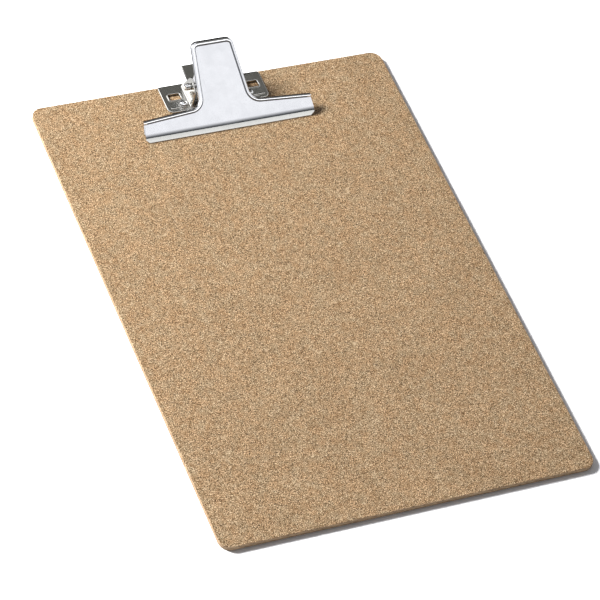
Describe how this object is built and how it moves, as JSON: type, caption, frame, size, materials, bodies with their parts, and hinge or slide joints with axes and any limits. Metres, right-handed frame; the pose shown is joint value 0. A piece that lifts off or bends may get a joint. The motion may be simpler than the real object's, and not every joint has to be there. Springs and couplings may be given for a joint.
{
  "type": "clipboard",
  "caption": "Hardboard clipboard with a sprung metal lever clip on a riveted base plate; pressing the lever's rear lifts the lip off the board.",
  "frame": {"origin": "centre of the board's flat back face", "axes": "+Y along the board towards the clip end, +Z out of the writing face, +X to the right when looking at the writing face"},
  "size_m": [0.235, 0.3542, 0.0333],
  "materials": {
    "board": "pressed hardboard, smooth mottled brown face with fine fibre speckle",
    "base_plate": "nickel plated pressed steel, bright",
    "jaw": "nickel plated pressed steel, mirror bright",
    "hinge_pin": "plated steel pin, satin",
    "torsion_spring": "drawn spring wire, dark satin",
    "rivet_left": "nickel plated rivet, bright",
    "rivet_right": "nickel plated rivet, bright"
  },
  "bodies": {
    "base": {"board": "board", "base_plate": "base_plate", "hinge_pin": "hinge_pin", "torsion_spring": "torsion_spring", "rivet_left": "rivet_left", "rivet_right": "rivet_right"},
    "jaw": {"jaw": "jaw"}
  },
  "joints": [
    {"name": "jaw_pivot", "type": "hinge", "parent": "base", "child": "jaw", "pos_m": [0, 0.158, 0.0134], "axis": [-1, 0, 0], "range_deg": [0, 25], "stiffness_Nm_per_rad": 0.8, "springref_deg": -57.3, "deforming": ["torsion_spring"]}
  ]
}
